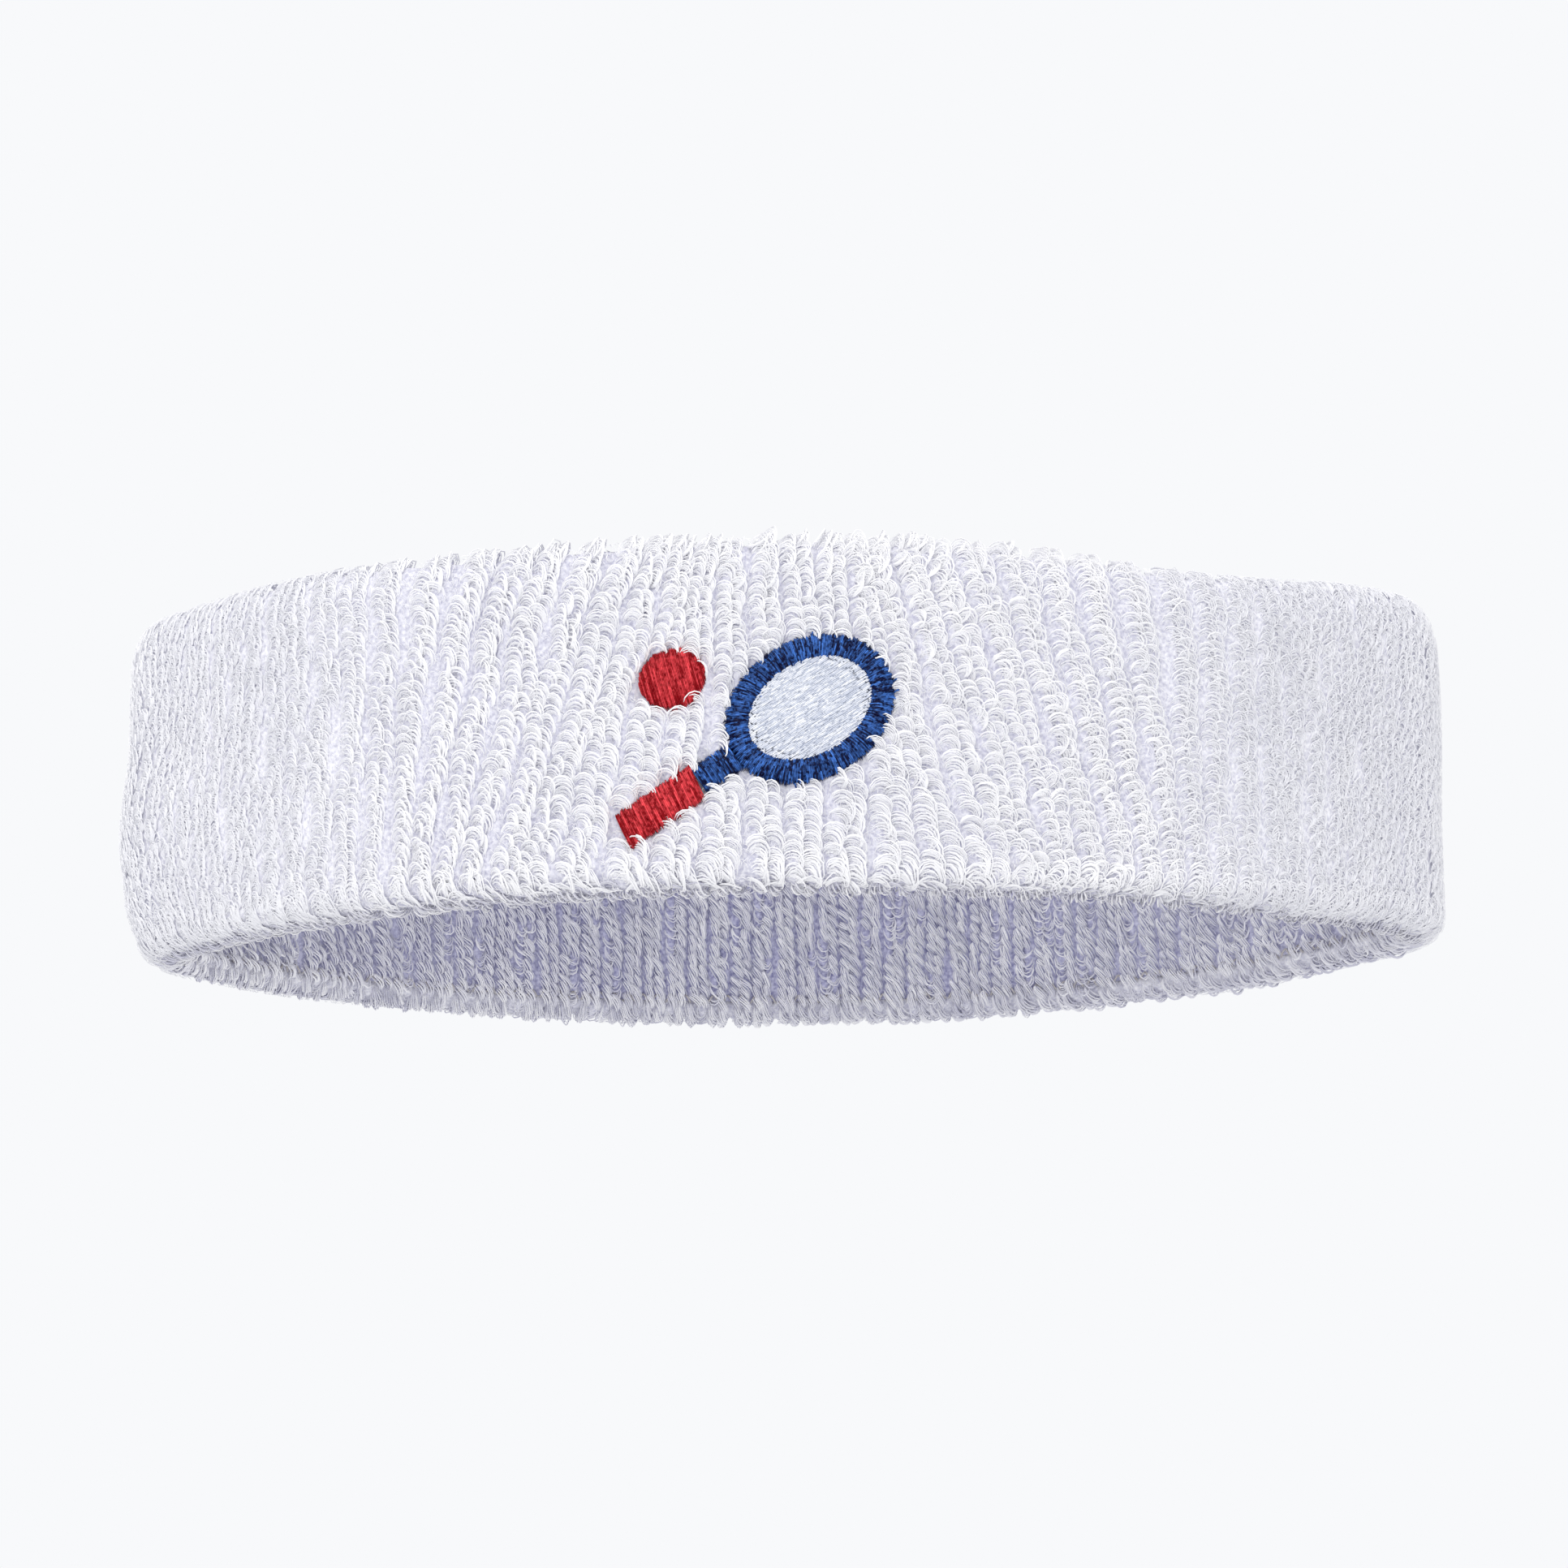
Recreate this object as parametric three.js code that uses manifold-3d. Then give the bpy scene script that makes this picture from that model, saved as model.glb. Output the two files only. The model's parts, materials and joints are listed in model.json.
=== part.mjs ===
// Terry sports headband with elastic threads inside and an embroidered racket and ball on the front.
// Millimetres, +Z up as worn, front facing -Y. The origin is under the middle of the band, on its lower rim.
import * as THREE from 'three';
import { mergeVertices } from 'three/addons/utils/BufferGeometryUtils.js';
import Module from 'manifold-3d';

// Driving dimensions of the band
const BAND_WIDTH = 190;
const BAND_DEPTH = 100;
const BAND_HEIGHT = 50;
const WALL = 9;
const END_RADIUS = 16;
const OUTER_LAYER = 3.8;
const LAYER_GAP = 1.6;
const CLEARANCE = 0.3;

// Rims: how far the rounding reaches across the wall and along the height
const TOP_ROUND = { across: 4.2, tall: 8 };
const BOTTOM_ROUND = { across: 2.5, tall: 4 };
const RIM_STEPS = 5;
const RIM_LIP = { straight: 3.5, slope: 1 };
const HEM = { top: 3.4, edge: 0.4 };
const SEAM_GROOVE = { across: 1.6, tall: 2.3 };

// Elastic threads, cut square from rubber sheet
const ELASTIC_COUNT = 12;
const ELASTIC_SIDE = 0.8;
const ELASTIC_FIRST_Z = 6;
const ELASTIC_LAST_Z = 44;

// Seam thread, lying in its groove just behind the inner face
const SEAM_THREAD = { side: 0.6, inwards: 8.5 };

// Embroidery: depths are measured inwards from the outer face of the band
const STITCH_DEPTH = { near: 0, far: 1.2 };
const FRONT_POCKET = { near: -1, far: 1.5 };
const BACK_POCKET = { near: 2.7, far: 4.1 };
const BACKING_DEPTH = { near: 3.0, far: 3.3 };
const BOBBIN_DEPTH = { near: 3.6, far: 3.85 };
const BACKING_SIZE = { width: 46, height: 32 };
const BOBBIN_SIZE = { width: 40, height: 29 };
const SHEET_MIDDLE = { x: -4, z: 20.5 };
const POCKET_MARGIN = 0.4;

// The emblem: a tilted racket and a ball, placed from the middle of the embroidery
const EMBLEM_MIDDLE = { x: -2.6, z: 20.5 };
const RACKET_TILT = THREE.MathUtils.degToRad(33);
const HEAD_AXES = { long: 12.5, short: 9.8 };
const HEAD_FROM_MIDDLE = 7.4;
const FRAME_WIDTH = 3.8;
const SHAFT = { length: 5.4, width: 4.4 };
const GRIP = { length: 12, width: 5.6 };
const BALL_RADIUS = 4.6;
const BALL_FROM_MIDDLE = { x: -12.6, z: 8.6 };

// Facets
const END_STEPS = 10;
const SIDE_STEPS = 20;
const THREAD_END_STEPS = 8;
const THREAD_SIDE_STEPS = 16;
const OUTLINE_STEPS = 36;
const SHELL_STEPS = 160;

const wasm = await Module();
wasm.setup();

const band = new THREE.Group();

// Plan of the band: an oval of four arcs. The long arcs' centres lie beyond the middle of the band.
const halfWidth = BAND_WIDTH / 2;
const halfDepth = BAND_DEPTH / 2;
const endCentre = halfWidth - END_RADIUS;
const sideRadius = (endCentre ** 2 + halfDepth ** 2 - END_RADIUS ** 2) / (2 * (halfDepth - END_RADIUS));
const sideCentre = sideRadius - halfDepth;
const endHalfAngle = Math.atan2(sideCentre, endCentre);

function arcStations(centre, radius, from, to, steps) {
  const stations = [];
  for (let step = 0; step < steps; step++) {
    const angle = THREE.MathUtils.lerp(from, to, step / steps);
    const outward = new THREE.Vector2(Math.cos(angle), Math.sin(angle));
    stations.push({ outward, onFace: centre.clone().addScaledVector(outward, radius) });
  }
  return stations;
}

function ovalStations(endSteps, sideSteps) {
  const right = new THREE.Vector2(endCentre, 0);
  const left = new THREE.Vector2(-endCentre, 0);
  const behind = new THREE.Vector2(0, -sideCentre);
  const ahead = new THREE.Vector2(0, sideCentre);
  const turn = endHalfAngle;
  return [
    ...arcStations(right, END_RADIUS, -turn, turn, endSteps),
    ...arcStations(behind, sideRadius, turn, Math.PI - turn, sideSteps),
    ...arcStations(left, END_RADIUS, Math.PI - turn, Math.PI + turn, endSteps),
    ...arcStations(ahead, sideRadius, Math.PI + turn, 2 * Math.PI - turn, sideSteps),
  ];
}

// A closed profile is lathed, then its columns are moved from the circle to the oval.
// Profile points are (distance inwards from the outer face, height).
function ovalRing(profile, endSteps, sideSteps) {
  const stations = ovalStations(endSteps, sideSteps);
  const closed = [...profile, profile[0]];
  const circle = closed.map(([inwards, z]) => new THREE.Vector2(halfWidth - inwards, z));
  const geometry = new THREE.LatheGeometry(circle, stations.length);
  const position = geometry.getAttribute('position');
  for (let column = 0; column <= stations.length; column++) {
    const { outward, onFace } = stations[column % stations.length];
    closed.forEach(([inwards, z], row) => {
      const place = onFace.clone().addScaledVector(outward, -inwards);
      position.setXYZ(column * closed.length + row, place.x, place.y, z);
    });
  }
  return geometry;
}

// Quarter of an ellipse from the point where the wall ends to the point where the rim ends
function quarterRound(wallPoint, rimPoint) {
  const points = [];
  for (let step = 0; step <= RIM_STEPS; step++) {
    const angle = (step / RIM_STEPS) * (Math.PI / 2);
    points.push([
      rimPoint[0] + (wallPoint[0] - rimPoint[0]) * Math.cos(angle),
      wallPoint[1] + (rimPoint[1] - wallPoint[1]) * Math.sin(angle),
    ]);
  }
  return points;
}

// The outer layer runs from the fold on top, down the outer face and under the lower rim to the seam inside.
const innerBack = OUTER_LAYER + LAYER_GAP;
const foldLine = WALL / 2;

function outerLayerProfile() {
  const lipFace = foldLine - CLEARANCE / 2;
  return [
    ...quarterRound([0, BAND_HEIGHT - TOP_ROUND.tall], [TOP_ROUND.across, BAND_HEIGHT]),
    [lipFace, BAND_HEIGHT],
    [lipFace, BAND_HEIGHT - RIM_LIP.straight],
    [OUTER_LAYER, BAND_HEIGHT - RIM_LIP.straight - RIM_LIP.slope],
    [OUTER_LAYER, HEM.top],
    [WALL - HEM.edge, HEM.top],
    ...quarterRound([WALL, HEM.top - HEM.edge], [WALL - BOTTOM_ROUND.across, 0]),
    ...quarterRound([0, BOTTOM_ROUND.tall], [BOTTOM_ROUND.across, 0]).reverse(),
  ];
}

function innerLayerProfile() {
  const lipFace = foldLine + CLEARANCE / 2;
  const hemFace = HEM.top + CLEARANCE;
  return [
    [lipFace, BAND_HEIGHT],
    ...quarterRound([WALL, BAND_HEIGHT - TOP_ROUND.tall], [WALL - TOP_ROUND.across, BAND_HEIGHT]).reverse(),
    [WALL, hemFace + SEAM_GROOVE.tall],
    [WALL - SEAM_GROOVE.across, hemFace],
    [innerBack, hemFace],
    [innerBack, BAND_HEIGHT - RIM_LIP.straight - RIM_LIP.slope],
    [lipFace, BAND_HEIGHT - RIM_LIP.straight],
  ];
}

function squareProfile(inwards, z, side) {
  const half = side / 2;
  return [
    [inwards - half, z - half],
    [inwards - half, z + half],
    [inwards + half, z + half],
    [inwards + half, z - half],
  ];
}

function toSolid(geometry) {
  const bare = geometry.clone();
  bare.deleteAttribute('normal');
  bare.deleteAttribute('uv');
  const merged = mergeVertices(bare, 1e-4);
  return new wasm.Manifold(new wasm.Mesh({
    numProp: 3,
    vertProperties: new Float32Array(merged.getAttribute('position').array),
    triVerts: new Uint32Array(merged.getIndex().array),
  }));
}

function toGeometry(solid) {
  const { vertProperties, triVerts } = solid.getMesh();
  const geometry = new THREE.BufferGeometry();
  geometry.setAttribute('position', new THREE.BufferAttribute(vertProperties, 3));
  geometry.setIndex(new THREE.BufferAttribute(triVerts, 1));
  return geometry;
}

// A full upright tube that follows the front arc of the band between two depths
function frontShell(near, far) {
  const bottom = -CLEARANCE;
  const top = BAND_HEIGHT + CLEARANCE;
  const profile = [
    new THREE.Vector2(sideRadius - far, bottom),
    new THREE.Vector2(sideRadius - near, bottom),
    new THREE.Vector2(sideRadius - near, top),
    new THREE.Vector2(sideRadius - far, top),
    new THREE.Vector2(sideRadius - far, bottom),
  ];
  const shell = new THREE.LatheGeometry(profile, SHELL_STEPS);
  shell.rotateX(Math.PI / 2);
  shell.translate(0, sideCentre, 0);
  return toSolid(shell);
}

// A straight block of the outline, long enough to cross the front wall and nothing else
function frontBlock(shape) {
  const block = new THREE.ExtrudeGeometry(shape, { depth: halfDepth, bevelEnabled: false });
  block.rotateX(Math.PI / 2);
  block.translate(0, -CLEARANCE, 0);
  return toSolid(block);
}

function inlay(shape, depth) {
  return frontShell(depth.near, depth.far).intersect(frontBlock(shape));
}

// Outlines of the emblem. The grow value widens an outline all round.
function racketPoint(along, across) {
  const cos = Math.cos(RACKET_TILT);
  const sin = Math.sin(RACKET_TILT);
  return new THREE.Vector2(
    EMBLEM_MIDDLE.x + along * cos - across * sin,
    EMBLEM_MIDDLE.z + along * sin + across * cos,
  );
}

function headPath(grow) {
  const points = [];
  for (let step = 0; step < OUTLINE_STEPS; step++) {
    const angle = (step / OUTLINE_STEPS) * 2 * Math.PI;
    const along = HEAD_FROM_MIDDLE + (HEAD_AXES.long + grow) * Math.cos(angle);
    points.push(racketPoint(along, (HEAD_AXES.short + grow) * Math.sin(angle)));
  }
  return points;
}

function barPath(start, length, width, grow) {
  const half = width / 2 + grow;
  return [
    racketPoint(start - grow, -half),
    racketPoint(start + length + grow, -half),
    racketPoint(start + length + grow, half),
    racketPoint(start - grow, half),
  ];
}

function headShape(grow) {
  return new THREE.Shape(headPath(grow));
}

function frameShape() {
  const shape = headShape(0);
  shape.holes.push(new THREE.Path(headPath(-FRAME_WIDTH)));
  return shape;
}

const shaftStart = HEAD_FROM_MIDDLE - HEAD_AXES.long - CLEARANCE - SHAFT.length;
const gripStart = shaftStart - CLEARANCE - GRIP.length;

function shaftShape(grow) {
  return new THREE.Shape(barPath(shaftStart, SHAFT.length, SHAFT.width, grow));
}

function gripShape(grow) {
  return new THREE.Shape(barPath(gripStart, GRIP.length, GRIP.width, grow));
}

function ballShape(grow) {
  const shape = new THREE.Shape();
  const x = EMBLEM_MIDDLE.x + BALL_FROM_MIDDLE.x;
  const z = EMBLEM_MIDDLE.z + BALL_FROM_MIDDLE.z;
  shape.absarc(x, z, BALL_RADIUS + grow, 0, 2 * Math.PI, false);
  return shape;
}

function sheetShape(size, grow) {
  const left = SHEET_MIDDLE.x - size.width / 2 - grow;
  const right = SHEET_MIDDLE.x + size.width / 2 + grow;
  const low = SHEET_MIDDLE.z - size.height / 2 - grow;
  const high = SHEET_MIDDLE.z + size.height / 2 + grow;
  return new THREE.Shape([
    new THREE.Vector2(left, low),
    new THREE.Vector2(right, low),
    new THREE.Vector2(right, high),
    new THREE.Vector2(left, high),
  ]);
}

const materials = {
  outerTerry: { color: 0xf1f1f6, roughness: 0.95 },
  innerTerry: { color: 0xdcdce8, roughness: 0.95 },
  rubber: { color: 0xe4dfcf, roughness: 0.6 },
  seam: { color: 0xf4f4f8, roughness: 0.6 },
  backing: { color: 0xf3f3ef, roughness: 0.9 },
  bobbin: { color: 0xf7f7f9, roughness: 0.6 },
  blue: { color: 0x1d3f8f, roughness: 0.4 },
  red: { color: 0xc8202b, roughness: 0.4 },
  white: { color: 0xe9eef8, roughness: 0.4 },
};

function addPiece(name, geometry, material) {
  const mesh = new THREE.Mesh(geometry, new THREE.MeshStandardMaterial({ ...material, metalness: 0 }));
  mesh.name = name;
  band.add(mesh);
}

function addOuterLayer() {
  let layer = toSolid(ovalRing(outerLayerProfile(), END_STEPS, SIDE_STEPS));
  for (const outline of [headShape, shaftShape, gripShape, ballShape]) {
    layer = layer.subtract(inlay(outline(POCKET_MARGIN), FRONT_POCKET));
  }
  layer = layer.subtract(inlay(sheetShape(BACKING_SIZE, POCKET_MARGIN), BACK_POCKET));
  addPiece('outer_terry_layer', toGeometry(layer), materials.outerTerry);
}

function addInnerLayer() {
  const layer = ovalRing(innerLayerProfile(), END_STEPS, SIDE_STEPS);
  addPiece('inner_terry_layer', layer, materials.innerTerry);
}

function addElasticThreads() {
  const inwards = OUTER_LAYER + LAYER_GAP / 2;
  for (let index = 0; index < ELASTIC_COUNT; index++) {
    const z = THREE.MathUtils.lerp(ELASTIC_FIRST_Z, ELASTIC_LAST_Z, index / (ELASTIC_COUNT - 1));
    const ring = ovalRing(squareProfile(inwards, z, ELASTIC_SIDE), THREAD_END_STEPS, THREAD_SIDE_STEPS);
    addPiece(`elastic_thread_${String(index + 1).padStart(2, '0')}`, ring, materials.rubber);
  }
}

function addSeamThread() {
  const z = HEM.top + CLEARANCE + SEAM_THREAD.side / 2;
  const profile = squareProfile(SEAM_THREAD.inwards, z, SEAM_THREAD.side);
  addPiece('closing_seam_thread', ovalRing(profile, END_STEPS, SIDE_STEPS), materials.seam);
}

function addEmbroidery() {
  const pieces = [
    ['embroidered_racket_frame', frameShape(), STITCH_DEPTH, materials.blue],
    ['embroidered_racket_shaft', shaftShape(0), STITCH_DEPTH, materials.blue],
    ['embroidered_racket_grip', gripShape(0), STITCH_DEPTH, materials.red],
    ['embroidered_ball', ballShape(0), STITCH_DEPTH, materials.red],
    ['embroidered_string_bed', headShape(-FRAME_WIDTH - CLEARANCE), STITCH_DEPTH, materials.white],
    ['embroidery_backing', sheetShape(BACKING_SIZE, 0), BACKING_DEPTH, materials.backing],
    ['embroidery_bobbin_thread', sheetShape(BOBBIN_SIZE, 0), BOBBIN_DEPTH, materials.bobbin],
  ];
  for (const [name, shape, depth, material] of pieces) {
    addPiece(name, toGeometry(inlay(shape, depth)), material);
  }
}

addOuterLayer();
addInnerLayer();
addElasticThreads();
addSeamThread();
addEmbroidery();

export default band;
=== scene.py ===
import json
import math

import bpy
import numpy as np
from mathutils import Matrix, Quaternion, Vector


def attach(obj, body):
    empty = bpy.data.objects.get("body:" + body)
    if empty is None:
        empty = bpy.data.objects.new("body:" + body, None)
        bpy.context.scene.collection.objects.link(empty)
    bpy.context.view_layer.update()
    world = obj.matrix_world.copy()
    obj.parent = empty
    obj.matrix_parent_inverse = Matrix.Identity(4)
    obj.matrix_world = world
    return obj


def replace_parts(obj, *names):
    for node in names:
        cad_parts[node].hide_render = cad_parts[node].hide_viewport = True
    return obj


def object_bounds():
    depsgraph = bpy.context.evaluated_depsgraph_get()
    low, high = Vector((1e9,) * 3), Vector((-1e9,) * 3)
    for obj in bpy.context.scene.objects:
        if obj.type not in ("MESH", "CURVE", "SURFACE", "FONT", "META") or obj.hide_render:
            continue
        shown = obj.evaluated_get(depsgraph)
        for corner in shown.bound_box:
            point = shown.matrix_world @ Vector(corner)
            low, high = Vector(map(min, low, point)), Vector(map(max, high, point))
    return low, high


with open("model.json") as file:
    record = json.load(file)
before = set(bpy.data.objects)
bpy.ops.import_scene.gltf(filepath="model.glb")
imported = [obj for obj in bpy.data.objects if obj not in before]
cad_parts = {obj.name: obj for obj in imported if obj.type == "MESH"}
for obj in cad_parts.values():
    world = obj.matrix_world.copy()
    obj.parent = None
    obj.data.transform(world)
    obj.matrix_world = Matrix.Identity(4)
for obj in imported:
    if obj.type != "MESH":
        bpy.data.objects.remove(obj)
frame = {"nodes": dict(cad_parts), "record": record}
cad_low, cad_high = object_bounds()

MM = 0.001
TAU = 2 * math.pi
draw = np.random.default_rng(7)

# The wall, as the CAD solids have it
HALF_WIDTH = cad_high.x
HALF_DEPTH = cad_high.y
HEIGHT = cad_high.z
END_RADIUS = 16 * MM
WALL = 9 * MM

# The camera, below the band and looking up at it
VIEW_BELOW = math.radians(14.0)
VIEW_DISTANCE = 760 * MM
VIEW_HEIGHT = 26.2 * MM
VIEW_ROLL = math.radians(-0.38)
LENS = 120.6
SENSOR = 36.0

# The studio
LIGHT_BOUNCES = 12
LAMP_TARGET = (0, 0, 25 * MM)

# The ground knit, and how far the pile stands from it beside, below and above
PILE = 1.7 * MM
PILE_BELOW = 0.65
PILE_ABOVE = 0.9
TOP_CAP = 6.2 * MM
BOTTOM_CAP = 1.7 * MM
GROUND = 1.3 * MM
GROUND_STEPS = 40
GROUND_EDGE = 1.5 * MM
CREST_GAP = 0.15 * MM
SEAM_GAP = 0.05 * MM
RIB = 0.6 * MM
RIB_STEPS = 4
ORDERED_FILL = 0.12 * MM
CALM_GROUND = 0.78 * MM
END_GROUND_DROP = 0.42
END_REACH = 17 * MM

# How far the soft band departs from its plain shape
RIGHT_END_RISE = 2.2 * MM
RIGHT_TOP_SAG = 1.4 * MM
RIGHT_RIM_RISE = 0.9 * MM
LEFT_TOP_RISE = 0.8 * MM
REAR_RIM_RISE = 0.1 * MM
LEFT_BULGE = 1.1 * MM
LEFT_TUCK = 2.4 * MM
RIGHT_BULGE = 0.5 * MM

# Columns of loops, in pairs: wide at the front and narrow at the sides
WIDE_PAIR = 4.85 * MM
NARROW_PAIR = 2.85 * MM
REAR_PAIR = 3.4 * MM
WIDE_UNTIL = 58 * MM
NARROW_FROM = 90 * MM
NARROW_UNTIL = 125 * MM
REAR_FROM = 155 * MM
COLUMN_OFFSET = 0.195
RIB_CLOSER = 0.065
COLUMN_SAMPLES = 4001
SAMPLES = 2001

# Rows of loops, closer together under the lower rim
COURSE = 1.5 * MM
RIM_ROWS = 0.9
UNDERSIDE = 4.2 * MM
SEAM_MARGIN = 0.2 * MM

# How unevenly the loops lie, in shares of a row or a column
COLUMN_SHIFT = 0.25
LOOP_SHIFT = 0.12
PAIR_WOBBLE = 0.07
COLUMN_WOBBLE = 0.04
STEADIER_INSIDE = 0.3
CALM_STRAY = 0.20
FAN_NARROWEST = -0.15
FAN_WIDEST_SHARE = 0.6

# Which loops are open ones and which lie on their side
TURN = 0.6
OPEN_NOISE = 0.95
OPEN_TOP = -0.5
OPEN_LOW = -0.1
SLANT_CHANGE = 0.22

# Where, from the front centre, the pile is in clear ribs, fans out or is pressed smooth
ORDER_FROM = 24 * MM
ORDER_FULL = 46 * MM
FAN = 7.0 * MM
FAN_WIDEST = 28 * MM
FAN_END = 68 * MM
CALM_FROM = 42 * MM
CALM_FULL = 75 * MM
CALM_UNTIL = 132 * MM
CALM_END = 186 * MM
CALM_RISE = 0.95 * MM
RIBS_MERGE_FROM = 52 * MM
EMBLEM_REACH = 40 * MM
LOOSE_FROM = 33 * MM
LOOSE_FULL = 41 * MM
LOOSE_UNTIL = 30 * MM
LOOSE_END = 48 * MM

# Strands: how many to a loop (the outer ones by nearness to the front), how thick, how finely bent
SECTORS = 16
FRONT_STRANDS = 9
OUTER_STRANDS = ((0.75, FRONT_STRANDS), (0.62, 7), (0.37, 6), (0, 4))
INNER_SEEN_UNTIL = 0.45
SEEN_INNER_STRANDS = 5
INNER_STRANDS = 3
OUTER_STRAND_RADIUS = 0.105 * MM
INNER_STRAND_RADIUS = 0.14 * MM
SEEN_INNER_THINNER = 0.8
FRONT_POINTS = 9
PATH_POINTS = 7
TUBE_SIDES = 3
THREAD_SIDES = 5

# Open loops: shares of a loop, and angles in degrees
NEST = 0.72
LOOP_REACH = 0.60
LOOP_THICK = 0.54
LOOP_JITTER = 0.05
ARCH_START = -104
ARCH_STOP = 128
CALM_FLATTER = 0.68

# Fine loose fibres
FUZZ_PER_AREA = 1.3 / MM ** 2
FUZZ_REACH = 150 * MM
FUZZ_PIECES = 4
FUZZ_POINTS = 4
FUZZ_LENGTH = 1.3 * MM
FUZZ_RADIUS = 0.05 * MM

# The emblem: a racket and a ball
EMBLEM_X = -2.6 * MM
EMBLEM_Z = 20.5 * MM
TILT = math.radians(33)
HEAD_LONG = 12.5 * MM
HEAD_SHORT = 9.8 * MM
HEAD_ALONG = 7.4 * MM
FRAME_WIDTH = 3.8 * MM
SHAFT_LENGTH = 5.4 * MM
SHAFT_WIDTH = 4.4 * MM
GRIP_LENGTH = 12 * MM
GRIP_WIDTH = 5.6 * MM
GRIP_SLANT = 0.4 * MM
STITCH_GAP = 0.3 * MM
BALL_RADIUS = 4.6 * MM
BALL_X = EMBLEM_X - 12.6 * MM
BALL_Z = EMBLEM_Z + 8.6 * MM
BALL_SLANT = math.radians(15)
SHAFT_START = HEAD_ALONG - HEAD_LONG - STITCH_GAP - SHAFT_LENGTH
GRIP_START = SHAFT_START - STITCH_GAP - GRIP_LENGTH
BAR_OVERLAP = 1 * MM
PILE_CLEAR = 0.15 * MM
FUZZ_CLEAR = 0.3 * MM

# Its stitches. Insets are measured inwards from the band's outer face
STITCH_RADIUS = 0.125 * MM
STITCH_POINTS = 9
SPACING = 0.22 * MM
RING_CLOSER = 0.92
SATIN_EDGE_INSET = 1.45 * MM
SATIN_TOP_INSET = 0.02 * MM
SATIN_DIP = 0.02 * MM
LOWER_LAYER = 0.12 * MM
SPLIT_OVERLAP = 0.03
SHAFT_OVERLAP = 0.6 * MM
LOWER_DIP = 0.06 * MM
STRAY_SHARE = 40
STRAY_RISE = 0.8 * MM
STRAY_DIP = 0.4 * MM
FILL_STITCH = 2.0 * MM
FILL_INSET = 0.55 * MM
FILL_UNDER_INSET = 0.72 * MM
FILL_DIP = 0.2 * MM
FILL_OVERLAP = 0.5 * MM
FILL_SHORTEST = 0.3 * MM
# Each thread's tone: painted sheen, slow across the threads (SHEEN) and at random thread by thread
# (STREAKS), painted glints along each thread (GLINTS) and painted shade at its ends (END_SHADE).
STITCH_TONE = 0.50
STREAKS = 0.20
SHEEN = 0.09
GLINTS = 0.14
END_SHADE = 0.2

# The closing seam inside
SEAM_STITCH = 2.2 * MM
SEAM_REACH = 0.7 * MM
SEAM_RADIUS = 0.16 * MM
SEAM_INSET = 0.3 * MM


# ---- camera, light and floor

def make_camera():
    data = bpy.data.cameras.new("camera")
    data.lens = LENS
    data.sensor_width = SENSOR
    data.clip_start = 0.01
    camera = bpy.data.objects.new("camera", data)
    bpy.context.collection.objects.link(camera)
    back = Vector((0, -math.cos(VIEW_BELOW), -math.sin(VIEW_BELOW)))
    camera.location = Vector((0, 0, VIEW_HEIGHT)) + back * VIEW_DISTANCE
    camera.rotation_mode = "QUATERNION"
    look = (-back).to_track_quat("-Z", "Y")
    camera.rotation_quaternion = look @ Quaternion((0, 0, 1), VIEW_ROLL)
    bpy.context.scene.camera = camera


def put(node, **values):
    """Sets some of a node's inputs. An underscore stands for a space in the input's name."""
    for name, value in values.items():
        node.inputs[name.replace("_", " ")].default_value = value
    return node


def make_world():
    """Light from all round, weaker from below, and an even backdrop for the camera."""
    world = bpy.data.worlds.new("studio")
    bpy.context.scene.world = world
    world.use_nodes = True
    nodes = world.node_tree.nodes
    links = world.node_tree.links
    nodes.clear()
    seen = put(nodes.new("ShaderNodeBackground"), Color=(0.939, 0.947, 0.965, 1))
    lit = put(nodes.new("ShaderNodeBackground"), Color=(0.957, 0.958, 0.978, 1))
    direction = nodes.new("ShaderNodeTexCoord")
    split = nodes.new("ShaderNodeSeparateXYZ")
    strength = put(nodes.new("ShaderNodeMapRange"), From_Min=-1.0, From_Max=1.0,
                   To_Min=0.82, To_Max=0.98)
    path = nodes.new("ShaderNodeLightPath")
    mix = nodes.new("ShaderNodeMixShader")
    out = nodes.new("ShaderNodeOutputWorld")
    links.new(direction.outputs["Generated"], split.inputs[0])
    links.new(split.outputs["Z"], strength.inputs["Value"])
    links.new(strength.outputs[0], lit.inputs["Strength"])
    links.new(path.outputs["Is Camera Ray"], mix.inputs["Fac"])
    links.new(lit.outputs[0], mix.inputs[1])
    links.new(seen.outputs[0], mix.inputs[2])
    links.new(mix.outputs[0], out.inputs["Surface"])


def add_light(name, place, target, size, power, color=(1, 1, 1)):
    data = bpy.data.lights.new(name, "AREA")
    data.shape = "DISK"
    data.size = size
    data.energy = power
    data.color = color
    lamp = bpy.data.objects.new(name, data)
    bpy.context.collection.objects.link(lamp)
    lamp.location = place
    lamp.rotation_mode = "QUATERNION"
    lamp.rotation_quaternion = (Vector(target) - Vector(place)).to_track_quat("-Z", "Y")


def make_lamps():
    """The low lamp lights the inside of the rear wall from under the floor, which casts no shadow."""
    add_light("key", (-0.18, -1.44, 0.32), LAMP_TARGET, size=0.6, power=4.3, color=(1, 0.985, 0.95))
    add_light("top", (-0.35, -0.80, 1.15), LAMP_TARGET, size=0.5, power=3.9, color=(1, 0.985, 0.955))
    add_light("low", (0.04, -0.65, -0.75), (0, 30 * MM, 20 * MM), size=0.4, power=1.38)


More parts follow.
